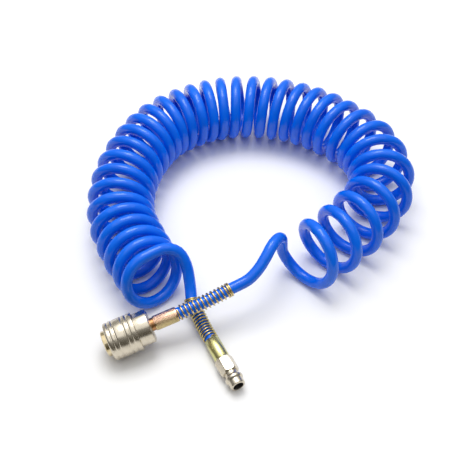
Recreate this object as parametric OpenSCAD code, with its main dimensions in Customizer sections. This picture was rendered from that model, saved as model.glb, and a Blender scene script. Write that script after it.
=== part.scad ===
// Spiral (recoil) air hose with a quick coupler at one end and a plug at the other.
// Millimetres, +Z up. The hose lies on the plane z = 0 in an open ring.
// Along each fitting's own axis, lengths run from its open end towards the hose.

/* [Hose] */
// Outside diameter of the hose
hose_d = 8; // [7:0.5:8]
// Bore of the hose where the barbs stretch it
hose_bore_d = 6; // [5.8:0.1:6.2]
// Outside diameter of the coiled stretch
coil_d = 49; // [45:1:52]

/* [Coupler sleeve] */
// Outside diameter of the locking sleeve
sleeve_d = 26.2; // [25.6:0.1:27]
// Length of the locking sleeve
sleeve_l = 19.9; // [19.5:0.1:20.5]
// How far the sleeve is pulled back to let the plug go
sleeve_travel = 4.5; // [4:0.1:4.5]
// Depth of the four finger grooves
groove_depth = 0.35; // [0.3:0.05:0.6]

/* [Coupler body] */
// Outside diameter of the front body, which the sleeve slides on
body_d = 17.5; // [17.5:0.1:17.7]
// How far the front body stands out of the sleeve
nose_l = 3; // [2:0.5:4]
// Outside diameter of the rear body
rear_d = 23.2; // [22.6:0.1:23.2]
// Width across the rear body's two wrench flats
rear_flats = 21; // [20:0.5:22]
// Number of locking balls
ball_count = 6; // [6:1:6]
// Diameter of a locking ball
ball_d = 3.5; // [3.3:0.1:3.5]

/* [Plug] */
// Diameter of the plug's nose, which the coupler seals on
plug_nose_d = 10; // [9.8:0.1:10]
// Diameter of the collar that the balls hold
plug_collar_d = 12; // [11.8:0.1:12]
// Bore of the plug
plug_bore_d = 7.2; // [6.5:0.1:7.4]
// Width across the flats of the plug's hexagon
plug_hex = 11; // [10.5:0.5:11]

/* [Hose ends] */
// Outside diameter of a ferrule
ferrule_d = 10.2; // [9.8:0.1:10.6]
// Length of a ferrule
ferrule_l = 16.4; // [15:0.1:17]
// Wire diameter of the bend guards
guard_wire_d = 0.9; // [0.7:0.1:1]
// Turns in the coupler's bend guard
coupler_guard_turns = 14; // [10:1:15]
// Turns in the plug's bend guard
plug_guard_turns = 16; // [10:1:17]

/* [Hidden] */
$fn = 64;

hose_r = hose_d / 2;
coil_r = coil_d / 2;
eps = 0.01;
run_gap = 0.05; // running clearance on a radius
seat_gap = 0.02; // air between parts that only rest together
spring_sides = 6;
hose_sides = 12;

// Where the fittings lie: the coupler leans down towards its mouth, the plug lies level
coupler_pos = [-41.3, -3.4, 12.8];
coupler_yaw = 21;
coupler_rise = 10;
plug_pos = [43.6, -32.1, 6];
plug_yaw = 117;

// Stations along the coupler's axis, counted from the sleeve's front face
ball_at = 6.5;
collar_bore_r = plug_collar_d / 2 + run_gap;
seal_bore_r = plug_nose_d / 2 + run_gap;
mouth_r = 6.8;
mouth_to = 4.6;
seal_from = 9.6;
seal_to = 11.3;
seal_groove_r = 7.2;
seal_r = 5.6;
guide_to = 13.9;
chamber_r = 6.6;
spigot_r = 8;
spigot_from = 18.3;
spigot_to = 24;
rear_from = 19;
rear_to = 30;
rear_chamfer = 1.2;
rear_taper = 2.2;
rear_bore_r = 6;
rear_turn = 140; // turns the wrench flats so that one looks up and a little back
stem_r = 4.4;
stem_bore_r = 2;
stem_from = 27.5;
barb_gap = 1.5; // from the last barb to the ferrule's open end
ring_seat_r = 8.1;
ring_r = 10.4;
ring_from = 0.15;
ring_to = 1.15;
land_r = body_d / 2 + run_gap;
ramp = 0.2; // rise of the sleeve's inner ramp per millimetre, which sets how far a ball moves
chamber_from = 9;
spring_room_r = 11.95;
washer_r = 11.4;
poppet_from = 14;
poppet_face_r = 4.6;
poppet_disc_from = 14.7;
poppet_disc_to = 16.6;
poppet_disc_r = 6;
poppet_rod_r = 2;
poppet_rod_to = 25.5;
guide_plate_from = 22;
coupler_ferrule_from = 32.1;
coupler_mouth = coupler_ferrule_from + ferrule_l;
ball_r = ball_d / 2;
ball_orbit = body_d / 2 - ball_r;

// Stations along the plug's axis, counted from its tip
plug_nose_l = 4.4;
plug_neck_d = 9.2;
plug_hex_from = 10.8;
plug_hex_to = 22.8;
plug_collar_to = 6.9;
plug_stem_from = 18;
plug_stem_r = 3.2;
plug_mouth = plug_hex_to + ferrule_l;

// Route of the coiled stretch's middle, seen from above: a point every 2.5 turns, from the plug's end.
// The points are chosen by hand, in even millimetres, far enough apart for the turns to lie side by side.
coil_route = [
    [-12, 40], [-28, 66], [-40, 96], [-40, 130], [-30, 162], [-14, 186], [10, 202], [36, 210],
    [66, 210], [94, 202], [120, 186], [144, 160], [148, 122], [122, 84], [82, 50]
];

// Route of the plain hose from the coupler's ferrule up to the last turn
coupler_lead = concat(
    [for (s = [0, 11.5]) on_axis(coupler_pos, coupler_yaw, coupler_rise, coupler_mouth + s)],
    [[24, 22, 25], [40, 30, 28], [50, 35, 30], [57, 41, 34], [62, 48, 38], [66, 55, 41],
     [70, 62, 40], [73, 67, 35], [74, 69, 27], [75, 69, 18]]
);

// Route of the plain hose from the plug's ferrule up to the first turn
plug_lead = concat(
    [for (s = [0, 11]) on_axis(plug_pos, plug_yaw, 0, plug_mouth + s)],
    [[16, 23, 8], [12, 31, 10], [11, 38, 14], [10, 44, 20], [8, 50, 28], [3, 54, 36], [-6, 53, 41],
     [-16, 47, 41]]
);

// ---- Vector and curve functions ----

function unit(v) = v / norm(v);

function on_axis(at, yaw, rise, s) =
    at + s * [cos(rise) * cos(yaw), cos(rise) * sin(yaw), sin(rise)];

// Point on a smooth curve through the route's points; t counts points from 0
function along(route, t) =
    let (
        last = len(route) - 1,
        i = min(floor(t), last - 1),
        f = t - i,
        a = route[i],
        b = route[i + 1],
        ma = i == 0 ? b - a : (b - route[i - 1]) / 2,
        mb = i == last - 1 ? b - a : (route[i + 2] - a) / 2
    )
    (2 * f * f * f - 3 * f * f + 1) * a + (f * f * f - 2 * f * f + f) * ma
        + (-2 * f * f * f + 3 * f * f) * b + (f * f * f - f * f) * mb;

function directions(path) =
    [for (i = [0:len(path) - 1]) unit(path[min(i + 1, len(path) - 1)] - path[max(i - 1, 0)])];

// Carries a side vector along the directions without twisting it
function carried(dirs, side, i = 0) =
    i >= len(dirs) ? []
        : let (now = unit(side - (side * dirs[i]) * dirs[i])) concat([now], carried(dirs, now, i + 1));

// ---- Shapes used by several parts ----

module in_coupler() translate(coupler_pos) rotate([0, 90 - coupler_rise, coupler_yaw]) children();

module in_plug() translate(plug_pos) rotate([0, 90, plug_yaw]) children();

// A turned shape from [radius, station] points
module turned(profile) rotate_extrude() polygon(profile);

// A plain ring
module ring(r_in, r_out, from, to)
    translate([0, 0, from]) difference() {
        cylinder(r = r_out, h = to - from);
        translate([0, 0, -eps]) cylinder(r = r_in, h = to - from + 2 * eps);
    }

// A solid tube swept along a path of points
module swept(path, r, sides, side_hint) {
    dirs = directions(path);
    sides_at = carried(dirs, side_hint);
    count = len(path);
    points = [
        for (i = [0:count - 1])
            let (m = sides_at[i], b = cross(dirs[i], m))
            for (j = [0:sides - 1])
                path[i] + r * (cos(360 * j / sides) * m + sin(360 * j / sides) * b)
    ];
    walls = [
        for (i = [0:count - 2]) for (j = [0:sides - 1])
            let (k = (j + 1) % sides, p = i * sides, q = p + sides)
            each [[p + j, q + j, q + k], [p + j, q + k, p + k]]
    ];
    first_cap = [for (j = [0:sides - 1]) j];
    last_cap = [for (j = [sides - 1:-1:0]) (count - 1) * sides + j];
    polyhedron(points = points, faces = concat(walls, [first_cap, last_cap]), convexity = 10);
}

// A coil spring of round wire on the Z axis
module coil_spring(mean_r, wire_r, from, to, turns, steps = 14) {
    rise = to - from - 2 * wire_r;
    swept(
        [for (i = [0:turns * steps])
            let (a = 360 * i / steps)
            [mean_r * cos(a), mean_r * sin(a), from + wire_r + rise * i / (turns * steps)]],
        wire_r, spring_sides, [0, 0, 1]
    );
}

// A bend guard: a spring wound on the first stretch of a lead, up to the point number reach
module bend_guard(route, reach, turns, steps = 12) {
    count = turns * steps;
    wire_r = guard_wire_d / 2;
    mean_r = hose_r + wire_r + run_gap;
    start = (wire_r + run_gap) / norm(route[1] - route[0]);
    line = [for (i = [0:count]) along(route, start + (reach - start) * i / count)];
    dirs = directions(line);
    side = carried(dirs, [0, 0, 1]);
    swept(
        [for (i = [0:count])
            let (a = 360 * i / steps)
            line[i] + mean_r * (cos(a) * side[i] + sin(a) * cross(dirs[i], side[i]))],
        wire_r, spring_sides, [0, 0, 1]
    );
}

// A hose stem: a collar that stands in the fitting, and barbs that the hose is pushed on
module stem(collar_r, collar_from, collar_to, barbs_to) {
    core_r = 2.6;
    barb_pitch = 2.6;
    barb_r = hose_bore_d / 2;
    difference() {
        union() {
            translate([0, 0, collar_from]) cylinder(r = collar_r, h = collar_to - collar_from);
            translate([0, 0, collar_from]) cylinder(r = core_r, h = barbs_to - collar_from);
            for (i = [1:5])
                translate([0, 0, barbs_to - i * barb_pitch])
                    cylinder(r1 = barb_r, r2 = core_r - eps, h = barb_pitch - 0.3);
        }
        translate([0, 0, collar_from - eps]) cylinder(r = stem_bore_r, h = barbs_to - collar_from + 2 * eps);
    }
}

// A ferrule: a thin sleeve over the hose, with a lip behind the hose's end
module ferrule(from) {
    bore_r = hose_r + run_gap;
    lip_l = 1;
    lip_r = hose_bore_d / 2 + run_gap;
    edge = 0.3;
    outer_r = ferrule_d / 2;
    turned([
        [lip_r, from], [outer_r - edge, from], [outer_r, from + edge],
        [outer_r, from + ferrule_l - edge], [outer_r - edge, from + ferrule_l],
        [bore_r, from + ferrule_l], [bore_r, from + lip_l], [lip_r, from + lip_l]
    ]);
}

// ---- Coupler ----

module front_body() color("silver") in_coupler() difference() {
    outer_r = body_d / 2;
    turned([
        [0, -nose_l], [outer_r - 0.6, -nose_l], [outer_r, -nose_l + 0.6],
        [outer_r, spigot_from], [spigot_r, spigot_from], [spigot_r, spigot_to], [0, spigot_to]
    ]);
    // Mouth, collar bore, seal groove, guide bore and valve chamber
    translate([0, 0, -nose_l - eps]) cylinder(r1 = mouth_r + 0.5, r2 = mouth_r, h = 0.6);
    translate([0, 0, -nose_l]) cylinder(r = mouth_r, h = mouth_to + nose_l);
    translate([0, 0, mouth_to - eps]) cylinder(r = collar_bore_r, h = seal_from - mouth_to + 2 * eps);
    translate([0, 0, seal_from]) cylinder(r = seal_groove_r, h = seal_to - seal_from);
    translate([0, 0, seal_to - eps]) cylinder(r = seal_bore_r, h = guide_to - seal_to + 2 * eps);
    translate([0, 0, guide_to]) cylinder(r = chamber_r, h = spigot_to - guide_to + eps);
    // Groove of the retaining ring
    difference() {
        translate([0, 0, ring_from - seat_gap])
            cylinder(r = outer_r + 1, h = ring_to - ring_from + 2 * seat_gap);
        translate([0, 0, ring_from - 1]) cylinder(r = ring_seat_r, h = ring_to - ring_from + 2);
    }
    for (i = [0:ball_count - 1])
        rotate([0, 0, 360 * i / ball_count]) translate([0, 0, ball_at]) rotate([0, 90, 0])
            cylinder(r = ball_r + run_gap, h = outer_r + 1, $fn = 32);
}

module rear_body() color("silver") in_coupler() difference() {
    r = rear_d / 2;
    intersection() {
        turned([
            [0, rear_from], [r - 0.3, rear_from], [r, rear_from + 0.3], [r, rear_to - rear_chamfer],
            [r - rear_taper, rear_to], [0, rear_to]
        ]);
        rotate([0, 0, rear_turn]) translate([-rear_flats / 2, -r - 1, rear_from - 1])
            cube([rear_flats, 2 * r + 2, rear_to - rear_from + 2]);
    }
    translate([0, 0, rear_from - eps]) cylinder(r = spigot_r, h = spigot_to - rear_from + eps);
    translate([0, 0, spigot_to - eps]) cylinder(r = rear_bore_r, h = stem_from - spigot_to + eps);
    translate([0, 0, stem_from - eps]) cylinder(r = stem_r, h = rear_to - stem_from + 1);
}

module locking_sleeve() color("gainsboro") in_coupler() difference() {
    r = sleeve_d / 2;
    lip = 10.6;
    rotate_extrude() difference() {
        polygon([
            [ring_r + 0.1, 0], [lip, 0], [r - 0.7, 0.35], [r, 1.2], [r, sleeve_l - 0.4],
            [r - 0.4, sleeve_l], [spring_room_r, sleeve_l], [spring_room_r, chamber_from],
            [land_r, chamber_from], [land_r, ball_at],
            [land_r + ramp * sleeve_travel, ball_at - sleeve_travel],
            [land_r + ramp * sleeve_travel, ring_to + seat_gap], [ring_r + 0.1, ring_to + seat_gap]
        ]);
        for (s = [3.3, 6.4, 12.9, 16.1])
            translate([r + 1 - groove_depth, s]) circle(r = 1, $fn = 24);
    }
}

module sleeve_ring() color("darkgoldenrod") in_coupler() ring(ring_seat_r, ring_r, ring_from, ring_to);

module sleeve_spring() color("dimgray") in_coupler()
    coil_spring(10.3, 0.55, chamber_from + seat_gap, spigot_from - seat_gap, 5);

module spring_washer() color("dimgray") in_coupler() ring(spigot_r, washer_r, spigot_from, rear_from);

module locking_ball(i) color("gainsboro") in_coupler()
    rotate([0, 0, 360 * (i - 1) / ball_count]) translate([ball_orbit, 0, ball_at]) sphere(r = ball_r);

module nose_seal() color("black") in_coupler()
    ring(seal_r, seal_groove_r, seal_from + seat_gap, seal_to - seat_gap);

module valve_poppet() color("darkgoldenrod") in_coupler()
    turned([
        [0, poppet_from], [poppet_face_r, poppet_from], [poppet_face_r, poppet_disc_from],
        [poppet_disc_r, poppet_disc_from], [poppet_disc_r, poppet_disc_to], [poppet_rod_r, poppet_disc_to],
        [poppet_rod_r, poppet_rod_to], [0, poppet_rod_to]
    ]);

module valve_seal() color("black") in_coupler()
    ring(poppet_face_r, poppet_disc_r - 0.1, guide_to + seat_gap, poppet_disc_from);

module valve_spring() color("dimgray") in_coupler()
    coil_spring(3.6, 0.4, poppet_disc_to + seat_gap, guide_plate_from - seat_gap, 4);

module valve_guide() color("darkgoldenrod") in_coupler() difference() {
    port_orbit = 4.4;
    port_r = 1.2;
    thickness = spigot_to - guide_plate_from;
    translate([0, 0, guide_plate_from]) cylinder(r = chamber_r, h = thickness);
    translate([0, 0, guide_plate_from - 1]) cylinder(r = poppet_rod_r + run_gap, h = thickness + 2);
    for (a = [45:90:315])
        rotate([0, 0, a]) translate([port_orbit, 0, guide_plate_from - 1])
            cylinder(r = port_r, h = thickness + 2);
}

module coupler_stem() color("peru") in_coupler()
    stem(stem_r, stem_from, coupler_ferrule_from, coupler_mouth - barb_gap);

module coupler_ferrule() color("goldenrod") in_coupler() ferrule(coupler_ferrule_from);

module coupler_guard() color("goldenrod") bend_guard(coupler_lead, 2.95, coupler_guard_turns);

// ---- Plug ----

module plug_nipple() color("silver") in_plug() difference() {
    nose_r = plug_nose_d / 2;
    collar_r = plug_collar_d / 2;
    neck_r = plug_neck_d / 2;
    corner_r = plug_hex / 2 / cos(30);
    union() {
        turned([
            [0, 0], [nose_r - 0.7, 0], [nose_r, 0.7], [nose_r, plug_nose_l],
            [collar_r, plug_nose_l + 1], [collar_r, plug_collar_to], [neck_r, plug_collar_to + 1.4],
            [neck_r, plug_hex_from + 1],
            [0, plug_hex_from + 1]
        ]);
        intersection() {
            translate([0, 0, plug_hex_from]) rotate([0, 0, 30])
                cylinder(r = corner_r, h = plug_hex_to - plug_hex_from, $fn = 6);
            turned([
                [0, plug_hex_from], [plug_hex / 2, plug_hex_from], [corner_r, plug_hex_from + 0.9],
                [corner_r, plug_hex_to - 1.6], [plug_hex / 2 - 0.4, plug_hex_to], [0, plug_hex_to]
            ]);
        }
    }
    translate([0, 0, -eps]) cylinder(r = plug_bore_d / 2, h = plug_stem_from + eps);
    translate([0, 0, plug_stem_from - 1]) cylinder(r = plug_stem_r, h = plug_hex_to - plug_stem_from + 2);
}

module plug_stem() color("peru") in_plug()
    stem(plug_stem_r, plug_stem_from, plug_hex_to, plug_mouth - barb_gap);

module plug_ferrule() color("goldenrod") in_plug() ferrule(plug_hex_to);

module plug_guard() color("goldenrod") bend_guard(plug_lead, 2.9, plug_guard_turns);

// ---- Hose ----

module hose_coil() color("royalblue") {
    steps = 3;
    last = len(coil_route) - 1;
    swept(
        [for (i = [0:last * steps])
            let (p = along(coil_route, i / steps)) [p[0], p[1], coil_r]],
        coil_r, 16, [0, 0, 1]
    );
}

module hose_run(route) color("royalblue") {
    steps = 2;
    swept(
        [for (i = [0:(len(route) - 1) * steps]) along(route, i / steps)],
        hose_r, hose_sides, [0, 0, 1]
    );
}

module hose_coupler_lead() hose_run(coupler_lead);

module hose_plug_lead() hose_run(plug_lead);

module hose_coupler_end() color("royalblue") in_coupler()
    ring(hose_bore_d / 2, hose_r, coupler_ferrule_from + 1, coupler_mouth);

module hose_plug_end() color("royalblue") in_plug()
    ring(hose_bore_d / 2, hose_r, plug_hex_to + 1, plug_mouth);

front_body();
rear_body();
locking_sleeve();
sleeve_ring();
sleeve_spring();
spring_washer();
locking_ball(1);  // locking_ball_1
locking_ball(2);  // locking_ball_2
locking_ball(3);  // locking_ball_3
locking_ball(4);  // locking_ball_4
locking_ball(5);  // locking_ball_5
locking_ball(6);  // locking_ball_6
nose_seal();
valve_poppet();
valve_seal();
valve_spring();
valve_guide();
coupler_stem();
coupler_ferrule();
coupler_guard();
plug_nipple();
plug_stem();
plug_ferrule();
plug_guard();
hose_coil();
hose_coupler_lead();
hose_plug_lead();
hose_coupler_end();
hose_plug_end();
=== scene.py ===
"""Finished model of a spiral air hose with a quick coupler and a plug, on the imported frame.

Sizes inside the classes are in millimetres, and every mesh is made in metres. Each fitting is
modelled on its own spindle, the Z axis, whose stations run from its open end towards the hose.
"""

import logging
import math
from abc import ABC, abstractmethod
from dataclasses import dataclass
from enum import Enum
from typing import Any, Iterable, Sequence

import bpy
from mathutils import Euler, Matrix, Vector


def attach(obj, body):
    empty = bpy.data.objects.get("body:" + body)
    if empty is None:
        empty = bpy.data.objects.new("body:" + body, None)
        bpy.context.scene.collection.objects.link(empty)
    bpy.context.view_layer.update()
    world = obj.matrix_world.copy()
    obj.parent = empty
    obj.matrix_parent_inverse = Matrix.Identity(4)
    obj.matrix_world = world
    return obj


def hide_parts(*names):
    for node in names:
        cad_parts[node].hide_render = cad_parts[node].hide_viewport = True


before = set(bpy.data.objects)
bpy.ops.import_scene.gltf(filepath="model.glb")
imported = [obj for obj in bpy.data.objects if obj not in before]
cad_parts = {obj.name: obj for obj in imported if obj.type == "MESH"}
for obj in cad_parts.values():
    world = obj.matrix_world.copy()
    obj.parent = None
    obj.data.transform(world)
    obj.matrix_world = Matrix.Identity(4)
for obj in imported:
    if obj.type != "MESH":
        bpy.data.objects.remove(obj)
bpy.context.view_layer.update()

MM = 0.001
MIX_FACTOR, MIX_FIRST, MIX_SECOND, MIX_RESULT = 0, 6, 7, 2  # a colour Mix node's sockets
TURNING_LINES = 9000.0  # to a metre of spindle
KNURL_SLANT = 6300.0  # climb of the knurl's ridges, in radians to a metre
BORE_PLAY = 0.02  # how far outside a bore's radius a face still counts as its wall
Point = tuple[float, float, float]
Profile = Sequence[tuple[float, float]]
Color = tuple[float, float, float]
log = logging.getLogger("air_hose")


class Body(Enum):
    """The rigid bodies that the pieces ride on."""

    HOSE = "hose_and_fittings"
    SLEEVE = "sleeve"


class Slot(Enum):
    """Names of material slots; no piece takes its finish from them."""

    NICKEL = "nickel"
    ZINC = "zinc_yellow"
    HOSE = "hose_blue"


# ---------------------------------------------------------------- places and routes


@dataclass(frozen=True)
class Spindle:
    """A fitting's own axis in the row frame.

    Args:
        at: Where station 0 lies.
        yaw: Turn round the vertical, in degrees.
        rise: Slope of the axis towards the hose, in degrees.
    """

    at: Point
    yaw: float
    rise: float

    @property
    def turn(self) -> Euler:
        """The rotation that brings the Z axis onto the spindle."""
        return Euler((0.0, math.radians(90.0 - self.rise), math.radians(self.yaw)))

    def matrix(self) -> Matrix:
        """The placing, in metres, of a piece that is modelled on the Z axis."""
        return Matrix.Translation(Vector(self.at) * MM) @ self.turn.to_matrix().to_4x4()

    def point(self, station: float) -> Vector:
        """The point on the axis at a station, in millimetres."""
        return Vector(self.at) + self.turn.to_matrix() @ Vector((0.0, 0.0, station))


def on_curve(route: Sequence[Vector], i: int, f: float) -> Vector:
    """The point on a route's smooth curve at a fraction of the way from point i to the next one."""
    a, b = route[i], route[i + 1]
    leave = b - a if i == 0 else (b - route[i - 1]) / 2
    reach = b - a if i == len(route) - 2 else (route[i + 2] - a) / 2
    return (
        a * (2 * f**3 - 3 * f**2 + 1) + leave * (f**3 - 2 * f**2 + f)
        + b * (3 * f**2 - 2 * f**3) + reach * (f**3 - f**2)
    )


def smooth(route: Sequence[Vector], steps: int) -> list[Vector]:
    """Runs a smooth curve through a route's points.

    Args:
        route: The points, in order.
        steps: How many pieces each interval is cut into.

    Returns:
        The points of the curve, the route's own among them.
    """
    line = [on_curve(route, i, k / steps) for i in range(len(route) - 1) for k in range(steps)]
    return [*line, route[-1].copy()]


def stretch(line: Sequence[Vector]) -> list[float]:
    """The distance along a line to each of its points."""
    run = [0.0]
    for a, b in zip(line, line[1:]):
        run.append(run[-1] + (b - a).length)
    return run


def at_distance(line: Sequence[Vector], run: Sequence[float], distance: float) -> tuple[Vector, Vector]:
    """The point and the direction at a distance along a line."""
    i = 0
    while i < len(line) - 2 and run[i + 1] < distance:
        i += 1
    step = line[i + 1] - line[i]
    f = (distance - run[i]) / max(step.length, 1e-9)
    return line[i] + step * f, step.normalized()


def carried(side: Vector, ahead: Vector) -> Vector:
    """A sideways direction carried on to where a line has turned to a new direction."""
    return (side - ahead * side.dot(ahead)).normalized()


def spoke(side: Vector, ahead: Vector, angle: float) -> Vector:
    """The direction across a line at an angle round it from its sideways direction."""
    return side * math.cos(angle) + ahead.cross(side) * math.sin(angle)


@dataclass(frozen=True)
class Winding:
    """The coiled stretch: turns of hose wound round a route that lies on the ground.

    Args:
        route: The middle of the coil seen from above, a point every few turns.
        turns_per_point: Turns from one point of the route to the next.
        radius: From the coil's middle to the hose's centreline.
        hose_radius: Half the hose's outside diameter.
        lean: How far turn 1 leans back over the coil, in degrees.
        easing: Over how many turns the lean dies away.
        sight: How far to each side the route's direction is taken from, in turns.
    """

    route: tuple[tuple[float, float], ...] = (
        (-12, 40), (-28, 66), (-40, 96), (-40, 130), (-30, 162), (-14, 186), (10, 202), (36, 210),
        (66, 210), (94, 202), (120, 186), (144, 160), (148, 122), (122, 84), (82, 50),
    )
    turns_per_point: float = 2.5
    radius: float = 20.5
    hose_radius: float = 4.0
    lean: float = 25.0
    easing: float = 5.0
    sight: float = 0.05

    def middle(self, turn: float) -> Vector:
        """The coil's middle at a turn number, seen from above."""
        place = (turn - 1.0) / self.turns_per_point
        i = min(max(int(place), 0), len(self.route) - 2)
        return on_curve([Vector(p) for p in self.route], i, place - i)

    def point(self, turn: float) -> Vector:
        """The hose's centreline at a turn number."""
        near = min(max(1.0 - (turn - 1.0) / self.easing, 0.0), 1.0)
        lean = math.radians(self.lean * near)
        ahead = (self.middle(turn + self.sight) - self.middle(turn - self.sight)).normalized()
        aside = Vector((-ahead.y, ahead.x))
        up, over = math.cos(2 * math.pi * turn), math.sin(2 * math.pi * turn)
        flat = (
            self.middle(turn) + aside * (self.radius * over)
            + ahead * (self.radius * up * math.sin(lean))
        )
        height = self.hose_radius + self.radius * math.cos(lean) * (1.0 + up)
        return Vector((flat.x, flat.y, height))

    def points(self, first: float, last: float, per_turn: int) -> list[Vector]:
        """Centreline points from one turn number to another."""
        count = round((last - first) * per_turn)
        return [self.point(first + (last - first) * i / count) for i in range(count + 1)]


# ---------------------------------------------------------------- workshop


def deselect() -> None:
    """Leaves nothing selected, since an operator acts on all that is."""
    bpy.ops.object.select_all(action="DESELECT")


def pick(piece: bpy.types.Object) -> None:
    """Selects one object alone and makes it the active one."""
    deselect()
    piece.select_set(True)
    bpy.context.view_layer.objects.active = piece


def linked(name: str, data: Any) -> bpy.types.Object:
    """Puts a mesh, a curve, a light or a camera in the scene as an object."""
    piece = bpy.data.objects.new(name, data)
    bpy.context.collection.objects.link(piece)
    return piece


def turned(name: str, profile: Profile, sides: int = 96) -> bpy.types.Object:
    """Turns a closed profile on the Z axis, as on a lathe.

    Args:
        name: The piece's name.
        profile: (radius, station) points, once round the section.
        sides: How many sides the circle has.

    Returns:
        A ring-shaped piece on the Z axis.
    """
    deselect()
    radius, station = profile[0]
    bpy.ops.mesh.primitive_circle_add(vertices=sides, radius=radius * MM)
    piece = bpy.context.object
    piece.name = piece.data.name = name
    bpy.ops.object.mode_set(mode="EDIT")
    bpy.ops.mesh.select_all(action="SELECT")
    bpy.ops.transform.translate(value=(0, 0, station * MM))
    for next_radius, next_station in [*profile[1:], profile[0]]:
        rise = (next_station - station) * MM
        bpy.ops.mesh.extrude_region_move(TRANSFORM_OT_translate={"value": (0, 0, rise)})
        grow = next_radius / radius
        bpy.ops.transform.resize(value=(grow, grow, 1), center_override=(0, 0, next_station * MM))
        radius, station = next_radius, next_station
    bpy.ops.mesh.select_all(action="SELECT")
    bpy.ops.mesh.remove_doubles(threshold=1e-6)
    bpy.ops.mesh.normals_make_consistent(inside=False)
    bpy.ops.object.mode_set(mode="OBJECT")
    return piece


def bored(piece: bpy.types.Object, radius: float, start: float, end: float) -> None:
    """Drills a round hole on the Z axis through part of a piece.

    Args:
        piece: The piece, still on the Z axis.
        radius: The drill's radius.
        start: The station where the drill starts.
        end: The station where it stops.
    """
    deselect()
    bpy.ops.mesh.primitive_cylinder_add(
        vertices=64, radius=radius * MM, depth=(end - start) * MM, location=(0, 0, (start + end) / 2 * MM)
    )
    combine(piece, bpy.context.object, "DIFFERENCE")


def combine(piece: bpy.types.Object, other: bpy.types.Object, operation: str) -> None:
    """Joins, cuts or keeps the common part of a piece and another, which is used up."""
    pick(piece)
    cut = piece.modifiers.new("cut", "BOOLEAN")
    cut.operation = operation
    cut.solver = "EXACT"
    cut.object = other
    bpy.ops.object.modifier_apply(modifier=cut.name)
    bpy.data.objects.remove(other, do_unlink=True)


def flatted(piece: bpy.types.Object, across: float, turn: float) -> None:
    """Mills two parallel wrench flats on a piece.

    Args:
        piece: The piece, still on the Z axis.
        across: The width across the flats.
        turn: Where the first flat faces, in degrees round the Z axis.
    """
    for angle in (turn, turn + 180.0):
        facing = Vector((math.cos(math.radians(angle)), math.sin(math.radians(angle)), 0.0))
        pick(piece)
        bpy.ops.object.mode_set(mode="EDIT")
        bpy.ops.mesh.select_all(action="SELECT")
        bpy.ops.mesh.bisect(
            plane_co=facing * (across / 2 * MM), plane_no=facing, use_fill=True, clear_outer=True
        )
        bpy.ops.object.mode_set(mode="OBJECT")


def eased(piece: bpy.types.Object, width: float, segments: int = 2, angle: float = 30.0) -> None:
    """Rounds a piece's sharp edges and shades it smooth.

    Args:
        piece: The piece.
        width: How much each edge is rounded.
        segments: Facets in each rounded edge.
        angle: Edges sharper than this, in degrees, are rounded.
    """
    pick(piece)
    bevel = piece.modifiers.new("ease", "BEVEL")
    bevel.width = width * MM
    bevel.segments = segments
    bevel.limit_method = "ANGLE"
    bevel.angle_limit = math.radians(angle)
    bpy.ops.object.modifier_apply(modifier=bevel.name)
    bpy.ops.object.shade_smooth_by_angle(angle=math.radians(40.0))


def placed(piece: bpy.types.Object, spindle: Spindle) -> None:
    """Puts a finished piece on its spindle, with its place in its mesh."""
    pick(piece)
    piece.matrix_world = spindle.matrix()
    bpy.ops.object.transform_apply(location=True, rotation=True, scale=True)


def handed_over(piece: bpy.types.Object, body: Body, nodes: Iterable[str]) -> None:
    """Rides a piece on its body, hides the nodes it stands for and logs its faces."""
    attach(piece, body.value)
    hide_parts(*nodes)
    log.info("%s: %d faces on %s", piece.name, len(piece.data.polygons), body.value)


def arc(
    middle: float, depth: float, outer: float, cutter: float = 1.0, steps: int = 8
) -> list[tuple[float, float]]:
    """The section of a round-bottomed groove in a turned surface.

    Args:
        middle: The groove's station.
        depth: How deep it is.
        outer: The radius of the surface it is cut in.
        cutter: The radius of its bottom.
        steps: Facets in the groove.

    Returns:
        (radius, station) points, from the lower station to the higher.
    """
    half = math.acos((cutter - depth) / cutter)
    return [
        (outer + cutter - depth - cutter * math.cos(a), middle + cutter * math.sin(a))
        for a in (half * (2 * i / steps - 1) for i in range(steps + 1))
    ]


# ---------------------------------------------------------------- finishes


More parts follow.
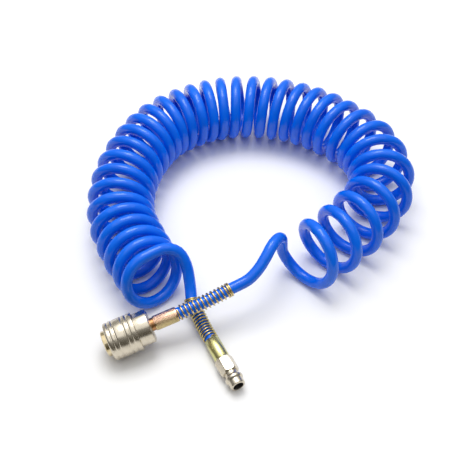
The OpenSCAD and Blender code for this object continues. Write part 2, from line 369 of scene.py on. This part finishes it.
class Bench:
    """Lays nodes in a node tree and wires them up."""

    def __init__(self, tree: bpy.types.NodeTree) -> None:
        """Starts on a tree."""
        self.tree = tree

    def add(self, kind: str, values: dict[str, Any] | None = None, **settings: Any) -> bpy.types.Node:
        """Adds a node.

        Args:
            kind: The node's type, without its ShaderNode prefix.
            values: Input socket values, and sockets to wire in, by the input's name or number.
            settings: The node's own properties.

        Returns:
            The node.
        """
        node = self.tree.nodes.new(f"ShaderNode{kind}")
        for key, value in settings.items():
            setattr(node, key, value)
        for key, value in (values or {}).items():
            self.feed(node.inputs[key], value)
        return node

    def feed(self, socket: bpy.types.NodeSocket, value: Any) -> None:
        """Wires a socket into an input, or sets the input's own value."""
        if isinstance(value, bpy.types.NodeSocket):
            self.tree.links.new(value, socket)
        else:
            socket.default_value = value

    def maths(self, operation: str, *values: Any) -> bpy.types.NodeSocket:
        """The result of a Math node on one to three values or sockets."""
        node = self.add("Math", operation=operation)
        for socket, value in zip(node.inputs, values):
            self.feed(socket, value)
        return node.outputs[0]

    def blend(self, mask: Any, first: Any, second: Any) -> bpy.types.NodeSocket:
        """A colour between two, by a mask."""
        node = self.add("Mix", data_type="RGBA")
        for socket, value in ((MIX_FACTOR, mask), (MIX_FIRST, first), (MIX_SECOND, second)):
            self.feed(node.inputs[socket], value)
        return node.outputs[MIX_RESULT]

    def group(self, tree: bpy.types.NodeTree, values: dict[str, Any]) -> bpy.types.NodeSocket:
        """The first output of a shared effect."""
        node = self.tree.nodes.new("ShaderNodeGroup")
        node.node_tree = tree
        for key, value in values.items():
            self.feed(node.inputs[key], value)
        return node.outputs[0]

    def from_range(
        self, value: Any, low: float, high: float, start: float = 0.0, end: float = 1.0
    ) -> bpy.types.NodeSocket:
        """A value moved from one range to another and kept inside it."""
        node = self.add(
            "MapRange", {"Value": value, "From Min": low, "From Max": high, "To Min": start, "To Max": end}
        )
        return node.outputs[0]


class Effects:
    """Shared effects, each a shader node group that is built once."""

    def __init__(self) -> None:
        """Builds every group."""
        self.mottle = self._mottle()
        self.lathe_marks = self._lathe_marks()
        self.knurl = self._knurl()

    @staticmethod
    def _tree(name: str, inputs: Sequence[str], output: str) -> tuple[Bench, Any, Any]:
        """Starts a group with a vector and float inputs, and one float output."""
        tree = bpy.data.node_groups.new(name, "ShaderNodeTree")
        tree.interface.new_socket("Vector", in_out="INPUT", socket_type="NodeSocketVector")
        for label in inputs:
            tree.interface.new_socket(label, in_out="INPUT", socket_type="NodeSocketFloat")
        tree.interface.new_socket(output, in_out="OUTPUT", socket_type="NodeSocketFloat")
        entry = tree.nodes.new("NodeGroupInput")
        leave = tree.nodes.new("NodeGroupOutput")
        return Bench(tree), entry, leave

    def _mottle(self) -> bpy.types.NodeTree:
        """Cloudy patches, from 0 to 1."""
        bench, entry, leave = self._tree("mottle", ("Scale", "Low", "High"), "Mask")
        noise = bench.add("TexNoise", {
            "Vector": entry.outputs["Vector"], "Scale": entry.outputs["Scale"], "Detail": 4.0,
        })
        spread = bench.add("MapRange", {"Value": noise.outputs["Fac"], "From Min": 0.32, "From Max": 0.68})
        bench.feed(spread.inputs["To Min"], entry.outputs["Low"])
        bench.feed(spread.inputs["To Max"], entry.outputs["High"])
        bench.feed(leave.inputs[0], spread.outputs[0])
        return bench.tree

    def _lathe_marks(self) -> bpy.types.NodeTree:
        """Fine rings round the spindle, as a turning tool leaves them."""
        bench, entry, leave = self._tree("lathe_marks", ("Fineness",), "Height")
        parts = bench.add("SeparateXYZ", {"Vector": entry.outputs["Vector"]})
        fine = bench.maths("MULTIPLY", parts.outputs["Z"], entry.outputs["Fineness"])
        flat = bench.add("CombineXYZ", {"Z": fine})
        noise = bench.add("TexNoise", {
            "Vector": flat.outputs[0], "Scale": 1.0, "Detail": 3.0, "Roughness": 0.7,
        })
        bench.feed(leave.inputs[0], noise.outputs["Fac"])
        return bench.tree

    def _knurl(self) -> bpy.types.NodeTree:
        """Crossed diagonal ridges round the spindle, between two stations."""
        bench, entry, leave = self._tree("knurl", ("Teeth", "Slant", "From", "To"), "Height")
        parts = bench.add("SeparateXYZ", {"Vector": entry.outputs["Vector"]})
        station = parts.outputs["Z"]
        angle = bench.maths("ARCTAN2", parts.outputs["Y"], parts.outputs["X"])
        turn = bench.maths("MULTIPLY", angle, entry.outputs["Teeth"])
        climb = bench.maths("MULTIPLY", station, entry.outputs["Slant"])
        left = bench.maths("SINE", bench.maths("ADD", turn, climb))
        right = bench.maths("SINE", bench.maths("SUBTRACT", turn, climb))
        ridges = bench.maths("MULTIPLY", bench.maths("ADD", left, 1.0), bench.maths("ADD", right, 1.0))
        inside = bench.maths(
            "MULTIPLY",
            bench.maths("GREATER_THAN", station, entry.outputs["From"]),
            bench.maths("LESS_THAN", station, entry.outputs["To"]),
        )
        bench.feed(leave.inputs[0], bench.maths("MULTIPLY", ridges, inside))
        return bench.tree


@dataclass(frozen=True)
class Finish(ABC):
    """A material, made once for each spindle it is used on.

    Args:
        name: The material's name.
    """

    name: str

    def dress(self, piece: bpy.types.Object, effects: Effects, spindle: Spindle | None = None) -> None:
        """Puts the finish on a piece.

        Args:
            piece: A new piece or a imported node.
            effects: The shared effects.
            spindle: The axis that turning marks and knurls run round.
        """
        name = self.name + (f"_{round(spindle.yaw)}" if spindle else "")
        material = bpy.data.materials.get(name) or self.make(name, effects, spindle)
        if piece.data.materials:
            for i in range(len(piece.data.materials)):
                piece.data.materials[i] = material
            for place in piece.material_slots:
                place.material = material
        else:
            piece.data.materials.append(material)

    def make(self, name: str, effects: Effects, spindle: Spindle | None) -> bpy.types.Material:
        """Builds the material."""
        material = bpy.data.materials.new(name)
        material.use_nodes = True
        bench = Bench(material.node_tree)
        shader = material.node_tree.nodes["Principled BSDF"]
        place = bench.add("TexCoord").outputs["Object"]
        if spindle:
            mapping = bench.add("Mapping", {"Vector": place}, vector_type="TEXTURE")
            mapping.inputs["Location"].default_value = Vector(spindle.at) * MM
            mapping.inputs["Rotation"].default_value = spindle.turn
            place = mapping.outputs[0]
        self.paint(bench, shader, effects, place)
        return material

    def bump(
        self, bench: Bench, shader: bpy.types.Node, height: Any, depth: float, under: Any = None
    ) -> bpy.types.NodeSocket:
        """Raises the surface by a height, in millimetres, and feeds the shader's normal."""
        node = bench.add("Bump", {"Strength": 1.0, "Distance": depth * MM, "Height": height})
        if under is not None:
            bench.feed(node.inputs["Normal"], under)
        bench.feed(shader.inputs["Normal"], node.outputs[0])
        return node.outputs[0]

    @abstractmethod
    def paint(self, bench: Bench, shader: bpy.types.Node, effects: Effects, place: Any) -> None:
        """Lays the finish's nodes."""


@dataclass(frozen=True)
class Metal(Finish):
    """Plated or bare metal: soft cloudy patches, and faint turning marks.

    Args:
        color: The metal's colour.
        patch: The colour of its cloudy patches.
        roughness: The lowest and the highest roughness.
        marks: Depth of the turning marks.
        patches: How many patches there are to a metre.
    """

    name: str = "nickel_plate"
    color: Color = (0.66, 0.60, 0.49)
    patch: Color = (0.62, 0.56, 0.45)
    roughness: tuple[float, float] = (0.2, 0.3)
    marks: float = 0.0015
    patches: float = 260.0

    def paint(self, bench: Bench, shader: bpy.types.Node, effects: Effects, place: Any) -> None:
        """Lays the plating, its patches and its turning marks."""
        shader.inputs["Metallic"].default_value = 1.0
        cloud = bench.group(effects.mottle, {"Vector": place, "Scale": self.patches, "Low": 0.0, "High": 1.0})
        bench.feed(shader.inputs["Base Color"], bench.blend(cloud, (*self.color, 1), (*self.patch, 1)))
        rings = bench.group(effects.lathe_marks, {"Vector": place, "Fineness": TURNING_LINES})
        low, high = self.roughness
        rough = bench.from_range(bench.maths("ADD", cloud, rings), 0.2, 1.6, low, high)
        bench.feed(shader.inputs["Roughness"], rough)
        self.bump(bench, shader, rings, self.marks)


@dataclass(frozen=True)
class YellowZinc(Finish):
    """Yellow-passivated zinc: gold that drifts at random, with reflection colour painted in round its
    spindle, pink above and green at the sides, knurled where it is told.

    Args:
        gold, pink, green: The film's own colour below, and the painted reflection colours above and at the
            sides.
        knurl_span: The stations between which the surface is knurled.
        teeth: Ridges round the circle.
        knurl_depth: The ridges' height.
    """

    name: str = "yellow_zinc"
    gold: Color = (0.70, 0.50, 0.22)
    pink: Color = (0.80, 0.52, 0.38)
    green: Color = (0.58, 0.56, 0.22)
    knurl_span: tuple[float, float] = (0.0, 0.0)
    teeth: float = 32.0
    knurl_depth: float = 0.035

    def paint(self, bench: Bench, shader: bpy.types.Node, effects: Effects, place: Any) -> None:
        """Lays the drifting film, its painted reflection colour and the knurl."""
        shader.inputs["Metallic"].default_value = 1.0
        drift = bench.group(effects.mottle, {"Vector": place, "Scale": 150.0, "Low": -0.25, "High": 0.25})
        # On a ferrule these masks paint reflection colour by side of the spindle: pink above, gold below and
        # green at the sides. A guard has no spindle, so there they tint the wire by its place in the row
        # frame.
        parts = bench.add("SeparateXYZ", {"Vector": place})
        upper_sheen_and_place_tint = bench.from_range(parts.outputs["X"], 0.003, -0.005)
        upper_sheen_and_drift = bench.blend(bench.maths("ADD", upper_sheen_and_place_tint, drift), (*self.gold, 1), (*self.pink, 1))
        aside = bench.maths("ABSOLUTE", parts.outputs["Y"])
        side_offset_and_drift = bench.maths("ADD", aside, bench.maths("MULTIPLY", drift, 0.006))
        side_sheen_and_place_tint = bench.from_range(side_offset_and_drift, 0.0025, 0.0055, 0.0, 0.5)
        bench.feed(shader.inputs["Base Color"], bench.blend(side_sheen_and_place_tint, upper_sheen_and_drift, (*self.green, 1)))
        fleck = bench.group(effects.mottle, {"Vector": place, "Scale": 1200.0, "Low": 0.0, "High": 1.0})
        bench.feed(shader.inputs["Roughness"], bench.from_range(fleck, 0.0, 1.0, 0.2, 0.27))
        if self.knurl_span[1] > self.knurl_span[0]:
            ridges = bench.group(effects.knurl, {
                "Vector": place, "Teeth": self.teeth, "Slant": KNURL_SLANT,
                "From": self.knurl_span[0] * MM, "To": self.knurl_span[1] * MM,
            })
            self.bump(bench, shader, ridges, self.knurl_depth)
        else:
            self.bump(bench, shader, fleck, 0.001)


@dataclass(frozen=True)
class HosePlastic(Finish):
    """Glossy blue polyurethane with faint lines drawn along it.

    Args:
        color: The hose's blue.
        deep: The blue of its slightly denser patches.
        roughness: The lowest and the highest roughness.
        refraction: The plastic's index of refraction.
    """

    name: str = "blue_polyurethane"
    color: Color = (0.0, 0.155, 0.90)
    deep: Color = (0.0, 0.13, 0.80)
    roughness: tuple[float, float] = (0.13, 0.2)
    refraction: float = 1.45

    def paint(self, bench: Bench, shader: bpy.types.Node, effects: Effects, place: Any) -> None:
        """Lays the blue, the drawn lines and the slight waviness."""
        cloud = bench.group(effects.mottle, {"Vector": place, "Scale": 70.0, "Low": 0.0, "High": 1.0})
        bench.feed(shader.inputs["Base Color"], bench.blend(cloud, (*self.color, 1), (*self.deep, 1)))
        unrolled = bench.add("UVMap", uv_map="along").outputs[0]
        along = bench.add("Mapping", {"Vector": unrolled, "Scale": (0.4, 60.0, 1.0)})
        lines = bench.add("TexNoise", {"Vector": along.outputs[0], "Scale": 1.0, "Detail": 2.0})
        wavy = bench.group(effects.mottle, {"Vector": place, "Scale": 110.0, "Low": 0.0, "High": 1.0})
        bench.feed(shader.inputs["Roughness"], bench.from_range(cloud, 0.0, 1.0, *self.roughness))
        shader.inputs["IOR"].default_value = self.refraction
        first = self.bump(bench, shader, lines.outputs["Fac"], 0.006)
        self.bump(bench, shader, wavy, 0.05, first)


@dataclass(frozen=True)
class Rubber(Finish):
    """Dull black seal rubber."""

    name: str = "seal_rubber"

    def paint(self, bench: Bench, shader: bpy.types.Node, effects: Effects, place: Any) -> None:
        """Lays the black and its bloom."""
        bloom = bench.group(effects.mottle, {"Vector": place, "Scale": 700.0, "Low": 0.0, "High": 1.0})
        tint = bench.blend(bloom, (0.012, 0.012, 0.012, 1), (0.03, 0.03, 0.032, 1))
        bench.feed(shader.inputs["Base Color"], tint)
        bench.feed(shader.inputs["Roughness"], bench.from_range(bloom, 0.0, 1.0, 0.5, 0.7))
        self.bump(bench, shader, bloom, 0.01)


NICKEL = Metal()
# The nose's plate, tinted yellow all over: a painted gold reflection of the brass ring beside it.
NOSE_GOLD_REFLECTION = Metal("nose_plate_painted_gold", (0.70, 0.60, 0.40), (0.62, 0.50, 0.28), (0.12, 0.2))
BRASS = Metal("brass", (0.72, 0.52, 0.22), (0.62, 0.42, 0.16), (0.2, 0.34))
BRONZE = Metal("copper_neck", (0.52, 0.27, 0.12), (0.40, 0.20, 0.09), (0.24, 0.4), 0.006)
SPRING_STEEL = Metal("spring_steel", (0.55, 0.54, 0.52), (0.45, 0.44, 0.42), (0.25, 0.4), 0.0, 800.0)
# Bore walls: bare unplated metal, darkened to near black as painted shade in the deep hole.
BORE_SHADE = Metal("bore_painted_shade", (0.10, 0.09, 0.08), (0.05, 0.045, 0.04), (0.45, 0.6), 0.01, 500.0)
BALL_STEEL = Metal("ball_steel", (0.80, 0.80, 0.82), (0.74, 0.74, 0.76), (0.06, 0.12), 0.0, 800.0)


def lined(piece: bpy.types.Object, spindle: Spindle, radius: float, effects: Effects) -> None:
    """Paints shade into a bore: its wall faces take bare unplated metal darkened to near black.

    Args:
        piece: The dressed piece, in its place.
        spindle: The bore's axis.
        radius: The bore's radius.
        effects: The shared effects.
    """
    name = BORE_SHADE.name
    material = bpy.data.materials.get(name) or BORE_SHADE.make(name, effects, None)
    piece.data.materials.append(material)
    back = spindle.matrix().inverted()
    for face in piece.data.polygons:
        middle = back @ face.center
        off = Vector((middle.x, middle.y))
        if off.length < (radius + BORE_PLAY) * MM:
            face.material_index = len(piece.data.materials) - 1


# ---------------------------------------------------------------- fittings


@dataclass(frozen=True)
class Coupler:
    """The push-to-connect coupler: a sleeve that slides on a body, with a rear body behind it.

    Args:
        spindle: Its axis, from the nose.
        sleeve_r, sleeve_l: The sleeve's outer radius and its length.
        groove_depth: Depth of the finger grooves.
        grooves: The grooves' stations.
        rear_r: The rear body's outer radius.
        rear_span: The stations between which the rear body lies.
        rear_flats: The width across its wrench flats.
        rear_turn: Where the first flat faces, in degrees round the axis.
    """

    spindle: Spindle = Spindle((-41.3, -3.4, 12.8), 21.0, 10.0)
    sleeve_r: float = 13.1
    sleeve_l: float = 19.9
    groove_depth: float = 0.35
    grooves: tuple[float, ...] = (3.3, 6.4, 12.9, 16.1)
    rear_r: float = 11.6
    rear_span: tuple[float, float] = (19.0, 30.0)
    rear_flats: float = 21.0
    rear_turn: float = 140.0

    def build(self, effects: Effects) -> None:
        """Makes the coupler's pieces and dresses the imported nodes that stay."""
        self._sleeve(effects)
        self._rear(effects)
        # front_body takes the nose plate with its painted gold reflection.
        stay = {
            "front_body": NOSE_GOLD_REFLECTION, "sleeve_ring": BRASS, "sleeve_spring": SPRING_STEEL,
            "spring_washer": SPRING_STEEL, "nose_seal": Rubber(), "valve_poppet": BRASS,
            "valve_seal": Rubber(), "valve_spring": SPRING_STEEL, "valve_guide": BRASS,
            "coupler_stem": BRONZE, **{f"locking_ball_{i}": BALL_STEEL for i in range(1, 7)},
        }
        for node, finish in stay.items():
            finish.dress(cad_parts[node], effects, self.spindle)

    def _sleeve(self, effects: Effects) -> None:
        """The locking sleeve with its finger grooves."""
        r, l = self.sleeve_r, self.sleeve_l
        outside = [(10.62, 0.0), (12.2, 0.12), (12.75, 0.45), (13.02, 1.0), (r, 1.6)]
        for middle in self.grooves:
            outside += arc(middle, self.groove_depth, r)
        outside += [(r, l - 0.4), (r - 0.4, l)]
        inside = [
            (11.95, l), (11.95, 9.0), (8.8, 9.0), (8.8, 6.5), (9.7, 2.0), (9.7, 1.17), (10.5, 1.17),
            (10.5, 0.0),
        ]
        piece = turned("sleeve_shell", outside + inside, 128)
        eased(piece, 0.12)
        placed(piece, self.spindle)
        NICKEL.dress(piece, effects, self.spindle)
        handed_over(piece, Body.SLEEVE, ["locking_sleeve"])

    def _rear(self, effects: Effects) -> None:
        """The rear body with its wrench flats."""
        r = self.rear_r
        front, back = self.rear_span
        piece = turned("rear_shell", [
            (8.0, front), (r - 0.3, front), (r, front + 0.3), (r, back - 1.2), (r - 2.2, back),
            (4.45, back), (4.45, 27.5), (6.0, 27.5), (6.0, 24.0), (8.0, 24.0),
        ], 128)
        flatted(piece, self.rear_flats, self.rear_turn)
        eased(piece, 0.15)
        placed(piece, self.spindle)
        NICKEL.dress(piece, effects, self.spindle)
        handed_over(piece, Body.HOSE, ["rear_body"])


@dataclass(frozen=True)
class Plug:
    """The plug: a bored nose and collar on a hexagon.

    Args:
        spindle: Its axis, from the nose.
        nose_r, collar_r, neck_r: The radii of the nose, of the collar and of the neck behind it.
        bore_r: The bore's radius from the nose on.
        stem_bore_r: The bore's radius where the stem starts.
        hex_span: The stations between which the hexagon lies.
        across: The width across its flats.
    """

    spindle: Spindle = Spindle((43.6, -32.1, 6.0), 117.0, 0.0)
    nose_r: float = 5.0
    collar_r: float = 6.0
    neck_r: float = 4.6
    bore_r: float = 3.6
    stem_bore_r: float = 3.22
    hex_span: tuple[float, float] = (10.8, 22.8)
    across: float = 11.0

    def build(self, effects: Effects) -> None:
        """Makes the nipple and dresses the stem that stays."""
        self._nipple(effects)
        BRONZE.dress(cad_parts["plug_stem"], effects, self.spindle)

    def _nipple(self, effects: Effects) -> None:
        """The nose, collar and hexagon in one piece."""
        front, back = self.hex_span
        half, corner = self.across / 2, self.across / 2 / math.cos(math.radians(30.0))
        deselect()
        bpy.ops.mesh.primitive_cylinder_add(
            vertices=6, radius=corner * MM, depth=(back - front) * MM,
            location=(0, 0, (front + back) / 2 * MM),
        )
        piece = bpy.context.object
        piece.name = piece.data.name = "plug_shell"
        bpy.ops.object.transform_apply(location=True, rotation=True, scale=True)
        barrel = turned("barrel", [
            (1.0, front), (half - 0.1, front), (half + 0.42, front + 0.5), (corner + 0.05, front + 1.3),
            (corner + 0.05, back - 1.7), (half + 0.2, back - 0.9), (half - 0.4, back), (1.0, back),
        ])
        combine(piece, barrel, "INTERSECT")
        tip, collar, neck = self.nose_r, self.collar_r, self.neck_r
        nose = turned("nose", [
            (1.0, 0.0), (tip - 0.7, 0.0), (tip - 0.25, 0.2), (tip, 0.7), (tip, 4.1), (tip + 0.2, 4.5),
            (collar - 0.2, 5.0), (collar, 5.4), (collar, 6.7), (collar - 0.2, 7.1), (neck + 0.15, 8.1),
            (neck, 8.5), (neck, front + 0.6), (1.0, front + 0.6),
        ])
        combine(piece, nose, "UNION")
        bored(piece, self.bore_r, -1.0, 18.0)
        bored(piece, self.stem_bore_r, 17.5, back + 1.0)
        eased(piece, 0.1, angle=25.0)
        placed(piece, self.spindle)
        NICKEL.dress(piece, effects, self.spindle)
        # The bore's wall takes painted shade.
        lined(piece, self.spindle, self.bore_r, effects)
        handed_over(piece, Body.HOSE, ["plug_nipple"])


@dataclass(frozen=True)
class HoseEnd:
    """A ferrule over the hose's end, and the bend guard wound on the hose in front of it.

    Args:
        name: Which end it is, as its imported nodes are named.
        spindle: The fitting's axis.
        start: The ferrule's first station.
        zinc: The finish of the ferrule.
        wire_zinc: The finish of the guard.
        reach: How far the guard runs along the hose.
        pitch: From one open turn of the guard to the next.
        straight: How far the hose runs straight on from the ferrule's mouth.
        length, outer_r: The ferrule's length and its outer radius.
        stem_r, hose_r: The radii of the holes that the stem and the hose pass through.
        seat: How far inside the ferrule the hose ends.
        wire_r: Half the guard wire's diameter.
        closed_turns: How many of the guard's last turns are wound close.
        closeness: From one close turn to the next, in wire diameters.
    """

    name: str
    spindle: Spindle
    start: float
    zinc: YellowZinc
    wire_zinc: YellowZinc
    reach: float
    pitch: float
    straight: float
    length: float = 16.4
    outer_r: float = 5.1
    stem_r: float = 3.05
    hose_r: float = 4.05
    seat: float = 1.1
    wire_r: float = 0.6
    closed_turns: float = 2.25
    closeness: float = 1.03

    @property
    def mouth(self) -> float:
        """The station of the ferrule's open end."""
        return self.start + self.length

    @property
    def seated(self) -> Vector:
        """Where the hose's centreline ends inside the ferrule."""
        return self.spindle.point(self.start + self.seat)

    def route(self, lead: Sequence[Point]) -> list[Vector]:
        """The route's points from the ferrule's mouth up to where the lead meets the coil."""
        straight = (self.mouth, self.mouth + self.straight)
        return [*(self.spindle.point(station) for station in straight), *(Vector(p) for p in lead)]

    def build(self, effects: Effects, lead: Sequence[Point]) -> bpy.types.Object:
        """Makes the ferrule and the guard.

        Args:
            effects: The shared effects.
            lead: The points of the hose's plain stretch from this end on.

        Returns:
            The guard, which is a piece on the hose.
        """
        self._ferrule(effects)
        return self._guard(effects, smooth(self.route(lead), 12))

    def _ferrule(self, effects: Effects) -> None:
        """The pressed ferrule, with a plain rim at each end of its knurl."""
        r, a, b = self.outer_r, self.start, self.mouth
        piece = turned(f"{self.name}_ferrule_shell", [
            (self.stem_r, a), (r - 0.35, a), (r - 0.1, a + 0.25), (r - 0.1, a + 0.75), (r, a + 0.95),
            (r, b - 1.15), (r - 0.08, b - 1.0), (r - 0.08, b - 0.25), (r - 0.3, b), (self.hose_r, b),
            (self.hose_r, a + 1.0), (self.stem_r, a + 1.0),
        ])
        eased(piece, 0.08)
        placed(piece, self.spindle)
        self.zinc.dress(piece, effects, self.spindle)
        handed_over(piece, Body.HOSE, [f"{self.name}_ferrule"])

    def _guard(self, effects: Effects, line: Sequence[Vector]) -> bpy.types.Object:
        """The guard's wire on the hose's centreline, with its last turns wound close."""
        run = stretch(line)
        close_pitch = 2 * self.wire_r * self.closeness
        start = self.wire_r + 0.05
        open_turns = (self.reach - start - self.closed_turns * close_pitch) / self.pitch
        turns = open_turns + self.closed_turns
        steps = 20
        side = Vector((0.0, 0.0, 1.0))
        points = []
        for i in range(round(turns * steps) + 1):
            turn = min(i / steps, turns)
            extra = max(turn - open_turns, 0.0)
            distance = start + min(turn, open_turns) * self.pitch + extra * close_pitch
            centre, ahead = at_distance(line, run, distance)
            side = carried(side, ahead)
            points.append(centre + spoke(side, ahead, 2 * math.pi * turn) * (self.hose_r + self.wire_r))
        piece = wire(f"{self.name}_guard_wire", points, self.wire_r)
        self.wire_zinc.dress(piece, effects)
        handed_over(piece, Body.HOSE, [f"{self.name}_guard"])
        return piece


def wire(name: str, points: Sequence[Vector], radius: float) -> bpy.types.Object:
    """A round wire through points in the row frame, made a mesh."""
    curve = bpy.data.curves.new(name, "CURVE")
    curve.dimensions = "3D"
    curve.bevel_depth = radius * MM
    curve.bevel_resolution = 2
    curve.use_fill_caps = True
    spline = curve.splines.new("POLY")
    spline.points.add(len(points) - 1)
    for place, point in zip(spline.points, points):
        place.co = (*(point * MM), 1.0)
    pick(linked(name, curve))
    bpy.ops.object.convert(target="MESH")
    piece = bpy.context.object
    bpy.ops.object.shade_smooth()
    return piece


# ---------------------------------------------------------------- hose


@dataclass(frozen=True)
class Hose:
    """The hose: one length of tube from ferrule to ferrule, wound for most of its way.

    Args:
        coupler, plug: The hose's two ends.
        winding: The coiled stretch.
        radius: Half the outside diameter.
        coupler_lead: The plain stretch from the coupler's guard up to the last turn.
        plug_lead: The plain stretch from the plug's guard up to the first turn.
        joins: The turn numbers where the plug's and the coupler's leads join the coil.
        per_turn: Route points in each turn.
        sides: How many sides the tube has.
        uv_length: Millimetres of hose to one unit of its UV map.
    """

    coupler: HoseEnd
    plug: HoseEnd
    winding: Winding = Winding()
    radius: float = 4.0
    coupler_lead: tuple[Point, ...] = (
        (24, 22, 25), (40, 30, 28), (50, 35, 30), (57, 41, 34), (62, 48, 38), (66, 55, 41),
        (70, 62, 40), (73, 67, 35), (74, 69, 27),
    )
    plug_lead: tuple[Point, ...] = (
        (16, 23, 8), (12, 31, 10), (11, 38, 14), (10, 44, 20), (8, 50, 28), (3, 54, 36), (-6, 53, 41),
    )
    joins: tuple[float, float] = (1.0, 35.7)
    per_turn: int = 14
    sides: int = 20
    uv_length: float = 10.0

    def centreline(self) -> list[Vector]:
        """The whole hose's centreline, from inside the coupler's ferrule to inside the plug's."""
        first = self.coupler.route(self.coupler_lead)
        last = self.plug.route(self.plug_lead)
        coil = self.winding.points(*self.joins, per_turn=self.per_turn)
        ends = self.coupler.seated, self.plug.seated
        return smooth([ends[0], *first, *reversed(coil), *reversed(last), ends[1]], 3)

    def build(self, effects: Effects) -> None:
        guards = [
            self.coupler.build(effects, self.coupler_lead),
            self.plug.build(effects, self.plug_lead),
        ]
        line = self.centreline()
        piece = self._tube(line)
        HosePlastic().dress(piece, effects)
        handed_over(piece, Body.HOSE, [
            "hose_coil", "hose_coupler_lead", "hose_plug_lead", "hose_coupler_end", "hose_plug_end",
        ])
        tuple(self.coupler.spindle.point(self.coupler.mouth) * MM)

    def _tube(self, line: Sequence[Vector]) -> bpy.types.Object:
        """A closed tube along the centreline, with a UV map that runs along it."""
        run = stretch(line)
        side = Vector((0.0, 0.0, 1.0))
        points: list[Vector] = []
        count = len(line)
        for i, centre in enumerate(line):
            ahead = (line[min(i + 1, count - 1)] - line[max(i - 1, 0)]).normalized()
            side = carried(side, ahead)
            for k in range(self.sides):
                points.append((centre + spoke(side, ahead, 2 * math.pi * k / self.sides) * self.radius) * MM)
        faces: list[tuple[int, ...]] = []
        for i in range(count - 1):
            for k in range(self.sides):
                a, b = i * self.sides + k, i * self.sides + (k + 1) % self.sides
                faces.append((a, b, b + self.sides, a + self.sides))
        faces.append(tuple(reversed(range(self.sides))))
        faces.append(tuple(range((count - 1) * self.sides, count * self.sides)))
        mesh = bpy.data.meshes.new("hose_tube")
        mesh.from_pydata(points, [], faces)
        mesh.shade_smooth()
        along = mesh.uv_layers.new(name="along")
        for face in mesh.polygons:
            for k, corner in enumerate(face.loop_indices):
                ring, place = divmod(mesh.loops[corner].vertex_index, self.sides)
                if place == 0 and face.vertices[0] % self.sides == self.sides - 1:
                    place = self.sides
                along.data[corner].uv = (run[ring] / self.uv_length, place / self.sides)
        return linked("hose_tube", mesh)


# ---------------------------------------------------------------- studio


@dataclass(frozen=True)
class Studio:
    """A plain pale floor, soft light from above, and the camera.

    Args:
        target: The point that the camera and the lights face.
        distance: From the target to the camera.
        elevation: How far the camera looks down, in degrees.
        lens: The focal length.
        floor_size, floor_drop: The floor's side, and how far it lies under the hose, in metres.
    """

    target: Point = (43.0, 80.0, 20.0)
    distance: float = 640.0
    elevation: float = 50.5
    lens: float = 68.5
    floor_size: float = 4.0
    floor_drop: float = 0.0003

    def build(self) -> None:
        """Sets up the floor, the lights and the camera."""
        self._camera()
        self._floor()
        self._world()
        self._softbox("window_softbox", (-0.05, 0.42, 1.1), 0.6, 6.5)
        self._softbox("wide_fill", (0.0, 0.25, 1.5), 2.6, 17.0)
        bpy.context.scene.view_settings.view_transform = "Standard"

    def _camera(self) -> None:
        """The camera, level and looking down at the hose."""
        lean = math.radians(self.elevation)
        back = Vector((0.0, -math.cos(lean), math.sin(lean))) * self.distance
        data = bpy.data.cameras.new("camera")
        data.lens = self.lens
        data.sensor_width = 36.0
        data.clip_start = 0.01
        camera = linked("camera", data)
        camera.location = (Vector(self.target) + back) * MM
        camera.rotation_euler = (math.radians(90.0 - self.elevation), 0.0, 0.0)
        bpy.context.scene.camera = camera

    def _floor(self) -> None:
        """A pale, matt floor."""
        deselect()
        bpy.ops.mesh.primitive_plane_add(size=self.floor_size, location=(0.0, 0.0, -self.floor_drop))
        floor = bpy.context.object
        floor.name = "floor"
        bpy.ops.object.transform_apply(location=True)
        material = bpy.data.materials.new("pale_floor")
        material.use_nodes = True
        shader = material.node_tree.nodes["Principled BSDF"]
        shader.inputs["Base Color"].default_value = (0.93, 0.93, 0.93, 1)
        shader.inputs["Roughness"].default_value = 0.7
        floor.data.materials.append(material)

    def _world(self) -> None:
        """Even grey surroundings, brighter overhead and behind."""
        world = bpy.data.worlds.new("surroundings")
        bpy.context.scene.world = world
        world.use_nodes = True
        bench = Bench(world.node_tree)
        direction = bench.add("TexCoord").outputs["Generated"]
        dot = bench.add("VectorMath", {0: direction, 1: (0.0, 0.5, 0.866)}, operation="DOT_PRODUCT")
        ramp = bench.add("ValToRGB", {"Fac": bench.from_range(dot.outputs["Value"], -0.6, 1.0)})
        stops = ramp.color_ramp.elements
        stops[0].position, stops[0].color = 0.3, (0.10, 0.092, 0.075, 1)
        stops[1].position, stops[1].color = 0.9, (0.5, 0.5, 0.5, 1)
        background = world.node_tree.nodes["Background"]
        bench.feed(background.inputs["Color"], ramp.outputs["Color"])
        background.inputs["Strength"].default_value = 1.0

    def _softbox(self, name: str, at: Point, size: float, power: float) -> None:
        """A square soft light in metres that faces the middle of the hose."""
        data = bpy.data.lights.new(name, "AREA")
        data.shape = "SQUARE"
        data.size = size
        data.energy = power
        light = linked(name, data)
        light.location = at
        light.rotation_euler = (Vector(self.target) * MM - Vector(at)).to_track_quat("-Z", "Y").to_euler()


def main() -> None:
    """Builds the studio and the hose, and logs each piece."""
    logging.basicConfig(level=logging.INFO, format="%(name)s %(message)s")
    Studio().build()
    effects = Effects()
    coupler, plug = Coupler(), Plug()
    coupler_zinc = YellowZinc("coupler_ferrule_zinc", knurl_span=(33.1, 47.2))
    plug_zinc = YellowZinc(
        "plug_ferrule_zinc", gold=(0.70, 0.60, 0.30), pink=(0.66, 0.62, 0.28), green=(0.55, 0.58, 0.24),
        knurl_span=(23.8, 37.9), knurl_depth=0.006,
    )
    hose = Hose(
        coupler=HoseEnd(
            "coupler", coupler.spindle, 32.1, coupler_zinc,
            YellowZinc("coupler_guard_zinc", gold=(0.84, 0.60, 0.36)),
            reach=39.0, pitch=2.87, straight=11.5,
        ),
        plug=HoseEnd(
            "plug", plug.spindle, 22.8, plug_zinc, YellowZinc("plug_guard_zinc", pink=(0.66, 0.62, 0.28)),
            reach=34.5, pitch=2.33, straight=11.0,
        ),
    )
    hose.build(effects)
    coupler.build(effects)
    plug.build(effects)


if __name__ == "__main__":
    main()
